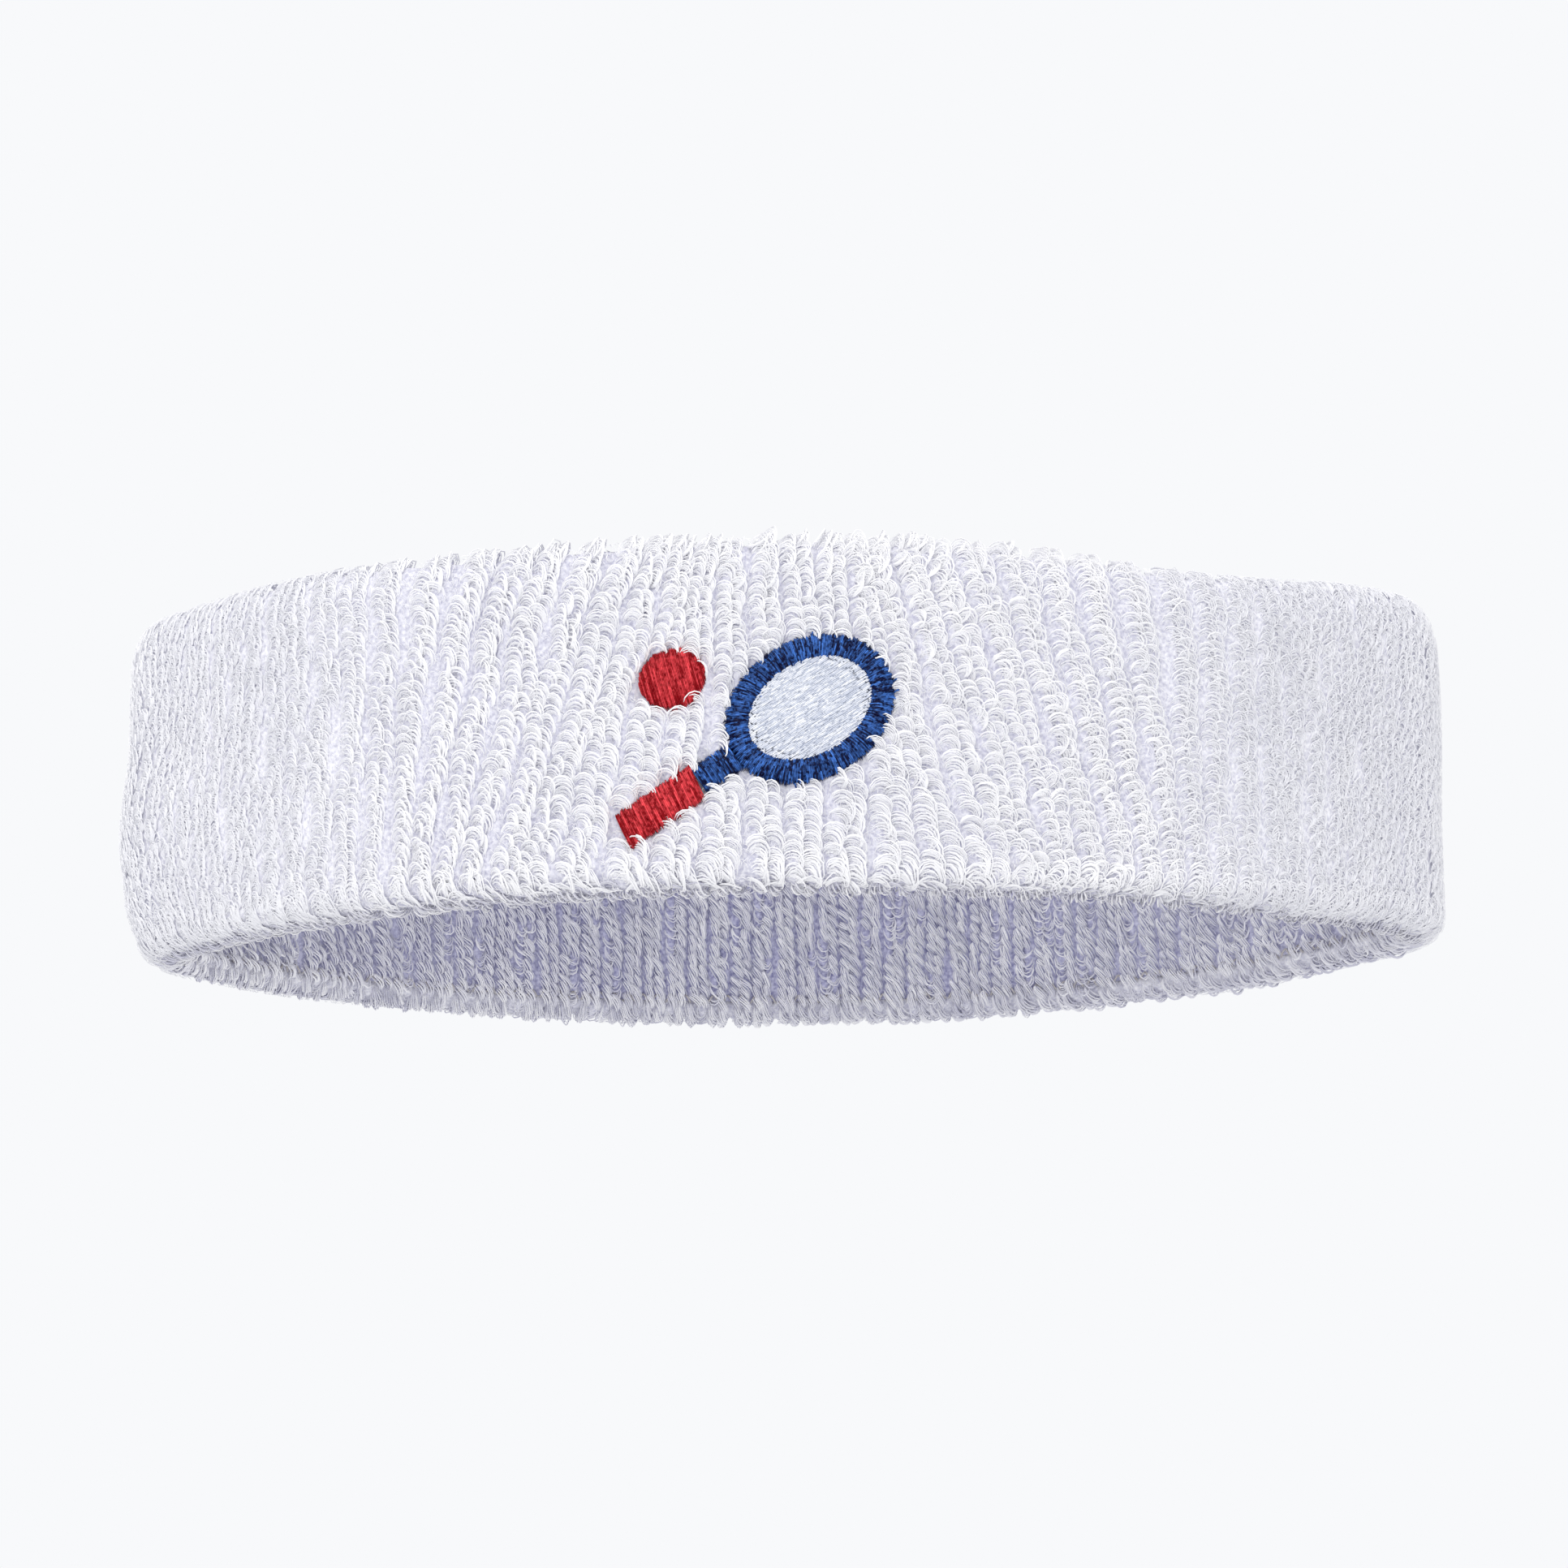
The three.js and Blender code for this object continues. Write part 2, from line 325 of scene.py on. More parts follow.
def make_floor():
    """A floor whose underside lets the camera through, because the photograph looks up from below."""
    mesh = bpy.data.meshes.new("floor")
    side = 6.0
    corners = [(-side, -side, 0), (side, -side, 0), (side, side, 0), (-side, side, 0)]
    mesh.from_pydata(corners, [], [(0, 1, 2, 3)])
    floor = bpy.data.objects.new("floor", mesh)
    bpy.context.collection.objects.link(floor)
    for ray in ("shadow", "diffuse", "glossy", "transmission"):
        setattr(floor, "visible_" + ray, False)
    look = Look("floor")
    put(look.surface, Base_Color=(0.93, 0.935, 0.945, 1), Roughness=0.9)
    mix = look.node("MixShader")
    look.links.new(look.node("NewGeometry").outputs["Backfacing"], mix.inputs["Fac"])
    look.links.new(look.surface.outputs[0], mix.inputs[1])
    look.links.new(look.node("BsdfTransparent").outputs[0], mix.inputs[2])
    look.links.new(mix.outputs[0], look.nodes["Material Output"].inputs["Surface"])
    mesh.materials.append(look.material)


# ---- materials

class Look:
    """A material and the nodes that colour and roughen its surface."""

    def __init__(self, name):
        self.material = bpy.data.materials.new(name)
        self.material.use_nodes = True
        self.nodes = self.material.node_tree.nodes
        self.links = self.material.node_tree.links
        self.surface = self.nodes["Principled BSDF"]

    def node(self, kind, **values):
        return put(self.nodes.new("ShaderNode" + kind), **values)

    def tone(self):
        """The tone that strands_mesh and ground_mesh keep in each mesh."""
        tone = self.node("Attribute")
        tone.attribute_name = "tone"
        return tone.outputs["Fac"]

    def noise(self, scale, detail=2.0):
        place = self.node("TexCoord")
        texture = self.node("TexNoise", Scale=scale, Detail=detail)
        self.links.new(place.outputs["Object"], texture.inputs["Vector"])
        return texture.outputs["Fac"]

    def mixed(self, first, second, share):
        """share of the first value and the rest of the second."""
        mix = self.node("Math")
        mix.operation = "MULTIPLY_ADD"
        mix.inputs[1].default_value = share
        self.links.new(first, mix.inputs[0])
        rest = self.node("Math")
        rest.operation = "MULTIPLY"
        rest.inputs[1].default_value = 1 - share
        self.links.new(second, rest.inputs[0])
        self.links.new(rest.outputs[0], mix.inputs[2])
        return mix.outputs[0]

    def colour(self, factor, dark, light, low=0.0, high=1.0):
        """dark where factor is low or less, light where it is high or more."""
        ramp = self.node("ValToRGB")
        for element, place, colour in zip(ramp.color_ramp.elements, (low, high), (dark, light)):
            element.position = place
            element.color = (*colour, 1)
        self.links.new(factor, ramp.inputs["Fac"])
        self.links.new(ramp.outputs["Color"], self.surface.inputs["Base Color"])

    def bump(self, height, strength, distance):
        node = self.node("Bump", Strength=strength, Distance=distance)
        self.links.new(height, node.inputs["Height"])
        self.links.new(node.outputs["Normal"], self.surface.inputs["Normal"])


def cotton(name, dark, light, sheen=0.1, roughness=0.6, specular=0.3):
    """Each strand of yarn has its own tone, with painted shade in it, over slow patches."""
    look = Look(name)
    look.colour(look.mixed(look.tone(), look.noise(scale=90), share=0.6), dark, light)
    put(look.surface, Roughness=roughness, Specular_IOR_Level=specular)
    put(look.surface, Sheen_Weight=sheen, Sheen_Roughness=0.5)
    return look.material


def shiny_thread(name, dark, light):
    """Rayon with painted reflections: streaked stitch by stitch and broken by fine painted glints."""
    look = Look(name)
    # The light end of the colour is a painted highlight and the dark end painted shade; the fine noise
    # adds painted glints.
    streaks = look.mixed(look.tone(), look.noise(scale=2400), share=0.5)
    look.colour(streaks, dark, light, low=0.36, high=0.80)
    put(look.surface, Roughness=0.25, Specular_IOR_Level=0.15)
    look.bump(look.noise(scale=7000), strength=0.3, distance=0.05 * MM)
    return look.material


def ground_knit(name, dark, light):
    """The knit that shows between the loops, coloured darker as painted shade in the grooves."""
    look = Look(name)
    grain = look.noise(scale=1900, detail=1.0)
    look.colour(look.mixed(look.tone(), grain, share=0.35), dark, light, low=0.30, high=0.66)
    put(look.surface, Roughness=0.95)
    look.bump(grain, strength=0.6, distance=0.3 * MM)
    return look.material


def grainy(name, dark, light, scale, roughness):
    """A mottled, finely grained surface, for the seam and the pieces inside the wall."""
    look = Look(name)
    grain = look.noise(scale, detail=4.0)
    look.colour(grain, dark, light)
    put(look.surface, Roughness=roughness)
    look.bump(grain, strength=0.3, distance=0.1 * MM)
    return look.material


# ---- the band's own coordinates

def summed(steps):
    """The distance travelled before each step and at the end."""
    return np.concatenate([[0], np.cumsum(steps)])


def unit(vectors):
    return vectors / np.linalg.norm(vectors, axis=-1, keepdims=True)


class Plan:
    """The oval of four arcs, followed along the middle of the wall from the front centre towards +X."""

    def __init__(self):
        self.end_centre = HALF_WIDTH - END_RADIUS
        across = self.end_centre ** 2 + HALF_DEPTH ** 2 - END_RADIUS ** 2
        self.side_radius = across / (2 * (HALF_DEPTH - END_RADIUS))
        self.side_centre = self.side_radius - HALF_DEPTH
        self.turn = math.pi / 2 - math.atan2(self.side_centre, self.end_centre)
        side = (self.side_radius - WALL / 2) * self.turn
        end = (END_RADIUS - WALL / 2) * (math.pi - 2 * self.turn)
        self.breaks = np.cumsum([0, side, end, 2 * side, end, side])
        self.angles = np.array([0, self.turn, math.pi - self.turn, math.pi + self.turn,
                                TAU - self.turn, TAU])
        self.length = self.breaks[-1]

    def at(self, s):
        """(outward x, outward y, arc centre x, arc centre y, arc radius on the outer face) at s."""
        s = np.mod(s, self.length)
        angle = np.interp(s, self.breaks, self.angles)
        arc = np.clip(np.searchsorted(self.breaks, s, side="right") - 1, 0, 4)
        centre_x = np.array([0, self.end_centre, 0, -self.end_centre, 0])[arc]
        centre_y = np.array([self.side_centre, 0, -self.side_centre, 0, self.side_centre])[arc]
        radius = np.array([self.side_radius, END_RADIUS, self.side_radius, END_RADIUS,
                           self.side_radius])[arc]
        return np.sin(angle), -np.cos(angle), centre_x, centre_y, radius

    def from_front(self, s):
        """Signed distance from the front centre, positive towards +X."""
        return (np.mod(s, self.length) + self.length / 2) % self.length - self.length / 2


class Profile:
    """The ground knit's section, from the seam inside, under the lower rim, up the outer face and down the
    inner face to the seam again, with some to spare at both ends. q is the distance along it."""

    STEPS = 600
    SPARE = 5 * MM

    def __init__(self):
        half = WALL / 2 - PILE
        low = PILE * PILE_BELOW + BOTTOM_CAP
        high = HEIGHT - PILE * PILE_ABOVE - TOP_CAP
        under = np.linspace(0, math.pi, self.STEPS)
        inner = np.full(self.STEPS, WALL / 2 + half)
        outer = np.full(self.STEPS, WALL / 2 - half)
        inset = np.concatenate([inner, WALL / 2 + half * np.cos(under), outer,
                                WALL / 2 - half * np.cos(under), inner])
        height = np.concatenate([np.linspace(low + self.SPARE, low, self.STEPS),
                                 low - BOTTOM_CAP * np.sin(under), np.linspace(low, high, self.STEPS),
                                 high + TOP_CAP * np.sin(under),
                                 np.linspace(high, low - self.SPARE, self.STEPS)])
        steps = np.hypot(np.diff(inset), np.diff(height))
        keep = np.concatenate([[True], steps > 1e-9])
        self.inset = inset[keep]
        self.height = height[keep]
        self.q = summed(np.hypot(np.diff(self.inset), np.diff(self.height))) - self.SPARE
        self.length = self.q[-1] - self.SPARE
        self.inset_slope = np.gradient(self.inset, self.q)
        self.height_slope = np.gradient(self.height, self.q)
        self.crest = self.q[np.argmax(self.height)]

    def at(self, q):
        """(inset, height, slope of each) at q. The slopes are the direction along the profile."""
        inset_slope = np.interp(q, self.q, self.inset_slope)
        height_slope = np.interp(q, self.q, self.height_slope)
        size = np.hypot(inset_slope, height_slope)
        return (np.interp(q, self.q, self.inset), np.interp(q, self.q, self.height),
                inset_slope / size, height_slope / size)


plan = Plan()
profile = Profile()


def smoothstep(value, low, high):
    x = np.clip((value - low) / (high - low), 0, 1)
    return x * x * (3 - 2 * x)


def hump(value, middle, reach):
    """1 at middle, falling smoothly to 0 at reach on either side."""
    return 1 - smoothstep(np.abs(value - middle), 0, reach)


def draped(point):
    """The soft band's departures from its plain shape: one end stands higher and the other bulges."""
    x, z = point[..., 0], point[..., 2]
    up = np.clip(z / HEIGHT, 0, 1)
    rise = RIGHT_END_RISE * smoothstep(x, 64 * MM, 90 * MM) * (0.6 + 0.4 * up)
    rise = rise - RIGHT_TOP_SAG * hump(x, 50 * MM, 34 * MM) * up
    rise = rise + RIGHT_RIM_RISE * smoothstep(x, 18 * MM, 66 * MM) * (1 - up)
    rise = rise + LEFT_TOP_RISE * hump(x, -64 * MM, 30 * MM) * up
    rise = rise + REAR_RIM_RISE * hump(x, 5 * MM, 85 * MM) * (1 - up) * (point[..., 1] > 0)
    left, right = (smoothstep(end, 70 * MM, 92 * MM) for end in (-x, x))
    wide = -LEFT_BULGE * left * hump(z, 19 * MM, 13 * MM)
    wide = wide + LEFT_TUCK * left * (1 - smoothstep(z, 0, 9 * MM))
    wide = wide + RIGHT_BULGE * right * hump(z, 34 * MM, 20 * MM)
    return point + np.stack([wide, np.zeros_like(x), rise], -1)


def on_band(s, q):
    """Point on the ground knit, and its frame: round the band, along the profile and out of the wall."""
    out_x, out_y, centre_x, centre_y, radius = plan.at(s)
    inset, height, inset_slope, height_slope = profile.at(q)
    reach = radius - inset
    zero = np.zeros_like(out_x * inset)
    point = np.stack([centre_x + out_x * reach, centre_y + out_y * reach, height + zero], -1)
    around = np.stack([-out_y + zero, out_x + zero, zero], -1)
    along = np.stack([-out_x * inset_slope, -out_y * inset_slope, height_slope + zero], -1)
    out = np.cross(around, along)
    return draped(point), around, along, out


# ---- meshes of many strands

def add_object(name, mesh, material):
    piece = bpy.data.objects.new(name, mesh)
    bpy.context.collection.objects.link(piece)
    mesh.materials.append(material)
    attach(piece, "root")
    return piece


def mesh_from(name, points, corners, sizes, tone=None, uv=None, flat_shaded=False):
    mesh = bpy.data.meshes.new(name)
    mesh.vertices.add(len(points))
    mesh.vertices.foreach_set("co", points.astype(np.float32).ravel())
    mesh.loops.add(len(corners))
    mesh.loops.foreach_set("vertex_index", corners.astype(np.int32))
    mesh.polygons.add(len(sizes))
    mesh.polygons.foreach_set("loop_start", summed(sizes)[:-1].astype(np.int32))
    mesh.update(calc_edges=True)
    if flat_shaded:
        mesh.shade_flat()
    if tone is not None:
        layer = mesh.attributes.new("tone", "FLOAT", "POINT")
        layer.data.foreach_set("value", tone.astype(np.float32))
    if uv is not None:
        layer = mesh.uv_layers.new(name="OFBake")
        layer.uv.foreach_set("vector", uv[corners].astype(np.float32).ravel())
    return mesh


def strand_faces(points, sides):
    """Corner indexes and face sizes of one strand: a tip, rings of vertices and another tip."""
    rings = points - 2
    last = 1 + rings * sides
    pairs = [(side, (side + 1) % sides) for side in range(sides)]
    corners = []
    for side, after in pairs:
        corners += [0, 1 + after, 1 + side]
    for ring in range(rings - 1):
        low = 1 + ring * sides
        high = low + sides
        for side, after in pairs:
            corners += [low + side, low + after, high + after, high + side]
    low = 1 + (rings - 1) * sides
    for side, after in pairs:
        corners += [last, low + side, low + after]
    sizes = [3] * sides + [4] * sides * (rings - 1) + [3] * sides
    return np.array(corners), np.array(sizes)


def strands_mesh(name, paths, flat, radius, tone, uv=None, sides=TUBE_SIDES, flat_shaded=False):
    """Closed tubes along paths (strand, point, xyz). flat (strand, xyz) is square to each path's plane.
    tone has one value for each strand, or one for each strand and point."""
    count, points, _ = paths.shape
    tangent = unit(np.gradient(paths, axis=1))
    flat = np.broadcast_to(flat[:, None, :], paths.shape)
    other = np.cross(tangent, flat)
    other /= np.linalg.norm(other, axis=2, keepdims=True) + 1e-12
    level = np.cross(other, tangent)
    angle = np.arange(sides) / sides * TAU
    ring = (np.cos(angle)[:, None] * level[:, 1:-1, None, :]
            + np.sin(angle)[:, None] * other[:, 1:-1, None, :])
    rings = paths[:, 1:-1, None, :] + ring * radius
    vertices = np.concatenate([paths[:, :1], rings.reshape(count, -1, 3), paths[:, -1:]], axis=1)
    each = vertices.shape[1]
    corners, sizes = strand_faces(points, sides)
    all_corners = (corners[None, :] + each * np.arange(count)[:, None]).ravel()
    all_sizes = np.tile(sizes, count)
    if uv is not None:
        uv = np.repeat(uv, each, axis=0)
    if tone.ndim == 2:
        between = np.repeat(tone[:, 1:-1], sides, axis=1)
        tone = np.concatenate([tone[:, :1], between, tone[:, -1:]], axis=1).ravel()
    else:
        tone = np.repeat(tone, each)
    return mesh_from(name, vertices.reshape(-1, 3), all_corners, all_sizes, tone, uv, flat_shaded)


# ---- the emblem's outlines

def to_racket(x, z):
    """(along, across) the racket from the middle of the emblem."""
    dx = x - EMBLEM_X
    dz = z - EMBLEM_Z
    return dx * math.cos(TILT) + dz * math.sin(TILT), -dx * math.sin(TILT) + dz * math.cos(TILT)


def from_racket(along, across):
    x = EMBLEM_X + along * math.cos(TILT) - across * math.sin(TILT)
    z = EMBLEM_Z + along * math.sin(TILT) + across * math.cos(TILT)
    return np.stack([x, z], -1)


def outside_emblem(x, z):
    """Distance outside the emblem's outline, about; negative inside."""
    along, across = to_racket(x, z)
    head = np.hypot((along - HEAD_ALONG) / HEAD_LONG, across / HEAD_SHORT)
    head = (head - 1) * HEAD_SHORT
    bar_low, bar_high = GRIP_START, HEAD_ALONG - HEAD_LONG + BAR_OVERLAP
    width = np.where(along < SHAFT_START, GRIP_WIDTH, SHAFT_WIDTH) / 2
    past = np.maximum(bar_low - along, along - bar_high)
    bar = np.maximum(past, np.abs(across) - width)
    ball = np.hypot(x - BALL_X, z - BALL_Z) - BALL_RADIUS
    return np.minimum(np.minimum(head, bar), ball)


def on_front(x, z, inset):
    """Point on the front arc at that x and height, and the way out of it."""
    angle = np.arcsin(x / plan.side_radius)
    out = np.stack([np.sin(angle), -np.cos(angle), np.zeros_like(angle)], -1)
    reach = plan.side_radius - inset
    point = np.stack([out[..., 0] * reach, plan.side_centre + out[..., 1] * reach, z + 0 * x], -1)
    return draped(point), out


# ---- the pile

def column_places():
    """Where each column lies round the band, and how wide it is."""
    s = np.linspace(0, plan.length, COLUMN_SAMPLES)
    away = np.abs(plan.from_front(s))
    pair = WIDE_PAIR + (NARROW_PAIR - WIDE_PAIR) * smoothstep(away, WIDE_UNTIL, NARROW_FROM)
    pair = pair + (REAR_PAIR - NARROW_PAIR) * smoothstep(away, NARROW_UNTIL, REAR_FROM)
    pairs = summed(np.diff(s) / ((pair[1:] + pair[:-1]) / 2))
    total = round(pairs[-1])
    number = np.arange(2 * total)
    middle = number // 2 + 0.5
    away = np.abs(plan.from_front(np.interp(middle / total * pairs[-1], pairs, s)))
    ribbed = smoothstep(away, ORDER_FROM, ORDER_FULL) * (1 - smoothstep(away, RIBS_MERGE_FROM, CALM_FULL))
    apart = COLUMN_OFFSET - RIB_CLOSER * ribbed
    place = (middle + np.where(number % 2 == 0, -apart, apart)) / total * pairs[-1]
    return np.interp(place, pairs, s), np.interp(place, pairs, pair) / 2


def fan(s, height, outer):
    """The ribs spread downwards on either side of the embroidery."""
    x = plan.from_front(s)
    away = np.abs(x)
    lean = smoothstep(away, 0, FAN_WIDEST) * (1 - smoothstep(away, FAN_WIDEST, FAN_END))
    return np.sign(x) * FAN * lean * (HEIGHT * 0.5 - height) / (HEIGHT * 0.5) * outer


def smooth_noise(shape, reach, axis=0):
    """Random values of size about 1 that change slowly along one axis."""
    values = draw.standard_normal(shape)
    kernel = np.hanning(reach + 2)[1:-1]
    kernel /= math.sqrt((kernel ** 2).sum())
    return np.apply_along_axis(lambda line: np.convolve(line, kernel, mode="same"), axis, values)


def rotated(first, second, angle):
    """first and second turned by angle in their own plane."""
    cos = np.cos(angle)[..., None]
    sin = np.sin(angle)[..., None]
    return first * cos + second * sin, second * cos - first * sin


def calm_at(s):
    """1 round the two ends, where the pile is pressed smooth, and 0 at the front and the back."""
    away = np.abs(plan.from_front(s))
    return smoothstep(away, CALM_FROM, CALM_FULL) * (1 - smoothstep(away, CALM_UNTIL, CALM_END))


def row_places():
    """Where the rows of loops lie along the profile, closer together under the lower rim."""
    q = np.linspace(0, profile.length, SAMPLES)
    density = (1 + RIM_ROWS * hump(q, UNDERSIDE, UNDERSIDE)) / COURSE
    rows = summed((density[1:] + density[:-1]) / 2 * np.diff(q))
    count = int(rows[-1])
    return np.interp((np.arange(count) + 0.5) / count * rows[-1], rows, q)


def loop_places():
    """Where every loop stands round the band and along the profile, and how wide its column is."""
    column_s, column_width = column_places()
    columns = len(column_s)
    row_q = row_places()
    rows = len(row_q)
    q = row_q[:, None] + draw.uniform(-COLUMN_SHIFT, COLUMN_SHIFT, columns)[None, :] * COURSE
    q = q + draw.uniform(-LOOP_SHIFT, LOOP_SHIFT, q.shape) * COURSE
    q = np.clip(q, SEAM_MARGIN, profile.length - SEAM_MARGIN)
    pair_wobble = np.repeat(smooth_noise((rows, columns // 2), 7), 2, axis=1)
    wobble = PAIR_WOBBLE * pair_wobble + COLUMN_WOBBLE * smooth_noise((rows, columns), 5)
    stray = CALM_STRAY * calm_at(column_s)[None, :] ** 3 * draw.standard_normal(q.shape)
    inside = q > profile.crest
    sway = 2 * wobble * (1 - STEADIER_INSIDE * inside) + stray
    s = column_s[None, :] + sway * column_width[None, :]
    return s, q, np.broadcast_to(column_width[None, :], s.shape)


def make_pile_loops():
    """Every loop, and the state of the pile there. facing is 1 outside, 0 on a rim and -1 inside."""
    s, q, width = loop_places()
    _, _, _, out = on_band(s, q)
    out_x, out_y, _, _, radius = plan.at(s)
    inset, height, _, _ = profile.at(q)
    facing = (out[..., 0] * out_x + out[..., 1] * out_y)
    outer = smoothstep(facing, -TURN, TURN)
    step = 1 * MM
    spread = (fan(s + step, height, outer) - fan(s - step, height, outer)) / (2 * step)
    spread = 1 + np.clip(spread, FAN_NARROWEST, FAN_WIDEST_SHARE)
    away = np.abs(plan.from_front(s))
    low = height < HEIGHT / 2
    over_emblem = smoothstep(height, LOOSE_FROM, LOOSE_FULL)
    over_emblem = over_emblem * (1 - smoothstep(away, LOOSE_UNTIL, LOOSE_END))
    loops = {
        "s": s + fan(s, height, outer),
        "q": q,
        "outer": outer,
        "rim": 1 - np.abs(facing),
        "under": (1 - np.abs(facing)) * low,
        "width": width * (radius - inset) / (radius - WALL / 2) * spread,
        "calm": calm_at(s) * smoothstep(outer, 0, 0.5),
        "open": (smooth_noise(s.shape, 7) > OPEN_NOISE) | (facing > np.where(low, OPEN_LOW, OPEN_TOP)),
        "slant": 1.0 + SLANT_CHANGE * smooth_noise(s.shape, 9),
        "front": (facing > 0.7) & (away < EMBLEM_REACH),
        "inside": (q > profile.crest) | (q < 0.8 * UNDERSIDE),
        "ordered": smoothstep(away, ORDER_FROM, ORDER_FULL),
        "loose": over_emblem * outer,
    }
    return {key: value.ravel() for key, value in loops.items()}


def some(loops, chosen):
    return {key: value[chosen] for key, value in loops.items()}


def follow(s, q, offset):
    """Points at offset (round the band, along the profile, out) from s and q, bent as the wall is."""
    _, _, _, _, radius = plan.at(s)
    inset, _, _, _ = profile.at(q)
    stretch = (radius - WALL / 2) / (radius - inset)
    point, _, _, out = on_band(s + offset[..., 0] * stretch, q + offset[..., 1])
    return point + out * offset[..., 2:]


def open_lift(loops):
    """How far each open loop leans out of the wall."""
    outer, under = loops["outer"], loops["under"]
    above = loops["rim"] * (under == 0)
    lift = 18 + 14 * np.maximum(outer, under) - 12 * loops["calm"] + 14 * above - 10 * under
    return np.radians(lift + draw.normal(0, 5, len(lift)) * (1 - 0.4 * loops["ordered"]))


def open_length(loops):
    long = 2.6 + 0.3 * loops["outer"] - 0.3 * loops["calm"] + 0.2 * loops["loose"]
    return long * MM * draw.normal(1, 0.09, len(long))


def open_yaw(loops, shape):
    """How far each strand of an open loop turns about the way out of the wall, in degrees."""
    outer, rim, calm, loose, under, ordered = (
        loops[key] for key in ("outer", "rim", "calm", "loose", "under", "ordered"))
    above = rim * (under == 0)
    yaw = (29 + 14 * above + 14 * loose - 6 * calm) * outer - 16 * (1 - outer) * (under == 0) + 12 * under
    yaw = yaw + draw.normal(0, 1, len(yaw)) * (8 + 9 * rim + 9 * loose) * (1 - 0.45 * ordered)
    return yaw[:, None] + draw.normal(0, 1, shape) * (4 + 2 * ordered)[:, None]


def open_twist(loops, shape):
    """How far each strand of an open loop turns with the twist of the yarn, in degrees."""
    twist = draw.normal(6, 12, shape[0])[:, None]
    twist = twist + draw.normal(0, 1, shape) * (5 + 3 * loops["ordered"])[:, None]
    return twist * (1 - 0.6 * loops["calm"])[:, None]


def open_frame(lift, yaw, twist):
    """The ways across each strand's arch, up it and square to it."""
    local = np.broadcast_to(np.eye(3)[:, None, None, :], (3, *yaw.shape, 3))
    sideways, up = rotated(local[0], local[1], np.radians(-yaw))
    up_out, over = rotated(up, local[2], np.broadcast_to(lift[:, None], yaw.shape))
    across, flat = rotated(sideways, over, np.radians(twist))
    return across, up_out, flat


def arch_offsets(loops, strands, points):
    """Open loops: nested arches that lean out of the wall, turned by the twist of the yarn."""
    shape = (len(loops["s"]), strands)
    calm, ordered = loops["calm"], loops["ordered"]
    lift = open_lift(loops)
    long = open_length(loops)
    yaw = open_yaw(loops, shape)
    across, up_out, flat = open_frame(lift, yaw, open_twist(loops, shape))

    number = np.arange(strands)
    size = 1 - (NEST / strands) * number + draw.normal(0, 1, shape) * (0.03 + 0.02 * ordered)[:, None]
    rise_by = long[:, None] * size
    reach_by = (loops["width"] * (LOOP_REACH - 0.03 * ordered))[:, None] * size ** 0.6
    reach_by = reach_by * draw.normal(1, 0.05, shape)
    shift = (number - (strands - 1) / 2) * (LOOP_THICK / strands) * MM
    shift = shift + draw.normal(0, LOOP_JITTER, shape) * MM
    bend = np.radians(np.linspace(ARCH_START, ARCH_STOP, points))
    rise = (np.cos(bend) - np.cos(bend[-1])) / (1 - np.cos(bend[-1]))
    offset = (up_out[:, :, None] * (rise_by[..., None] * rise)[..., None]
              + across[:, :, None] * (reach_by[..., None] * np.sin(bend))[..., None]
              - flat[:, :, None] * shift[..., None, None])
    middle = np.sin(np.radians(yaw)).mean(1) * long * 0.5
    offset[..., 0] -= middle[:, None, None]
    flatter = (1 - CALM_FLATTER * calm)[:, None, None]
    offset[..., 2] = offset[..., 2] * flatter + (CALM_RISE * calm)[:, None, None]
    return offset, flat[:, 0]


def rope_offsets(loops, strands, points):
    """Loops lying on their side: strands slant across the column, like the lay of a rope."""
    count = len(loops["s"])
    shape = (count, strands)
    slant = np.radians(-27 * loops["slant"] + draw.normal(0, 6, count))[:, None]
    slant = slant + draw.normal(0, 0.07, shape)
    half_long = 1.45 * MM * draw.normal(1, 0.12, count)[:, None] * draw.normal(1, 0.06, shape)
    place = np.arange(strands) - (strands - 1) / 2
    apart = place * (1.34 / strands) * MM * (loops["width"][:, None] / (1.7 * MM))
    apart = apart + draw.normal(0, 0.08, count)[:, None] * MM + draw.normal(0, 0.03, shape) * MM
    bulge = (1.25 + draw.normal(0, 0.16, count)[:, None] + draw.normal(0, 0.08, shape)) * MM
    roundness = 3.2 * MM * (place / strands) ** 2
    t = np.linspace(-1, 1, points)
    run = (half_long[..., None] * t)
    hook = 0.30 * MM * draw.normal(1, 0.4, count)[:, None]
    bow = hook * (t ** 3 - 0.6 * t)[None, :]
    sin, cos = np.sin(slant)[..., None], np.cos(slant)[..., None]
    offset = np.empty(shape + (points, 3))
    sideways = apart[..., None] * (1 - 0.45 * t ** 2) + bow[:, None, :]
    offset[..., 0] = run * sin + sideways * cos
    offset[..., 1] = run * cos - sideways * sin + 1.0 * MM
    offset[..., 2] = 0.35 * MM + bulge[..., None] * (1 - t ** 2) ** 0.75 - roundness[:, None]
    return offset, np.tile([0.0, 0.0, 1.0], (count, 1))


def pile_tone(loops, strands):
    """Painted shade at the ends, where the pile is pressed smooth, under the rim and, inside, at a
    bundle's edges.
    """
    inside = loops["inside"][:, None]
    edge = np.abs(np.linspace(-1, 1, strands)) ** 2
    shape = (len(inside), strands)
    tone = draw.normal(0, 0.09, shape) + draw.normal(0, 0.05, (len(inside), 1))
    tone = tone * (1 + 2.2 * inside) * (1 - 0.5 * loops["calm"])[:, None]
    # Painted shade at the edges of each bundle inside, which makes it look round.
    tone = tone - 0.34 * inside * edge
    # Painted shade round the two ends, where the pile lies pressed smooth, and under the lower rim.
    tone = tone + (0.86 - 0.74 * loops["calm"] - 0.2 * loops["under"])[:, None]
    return np.clip(tone, 0, 1)


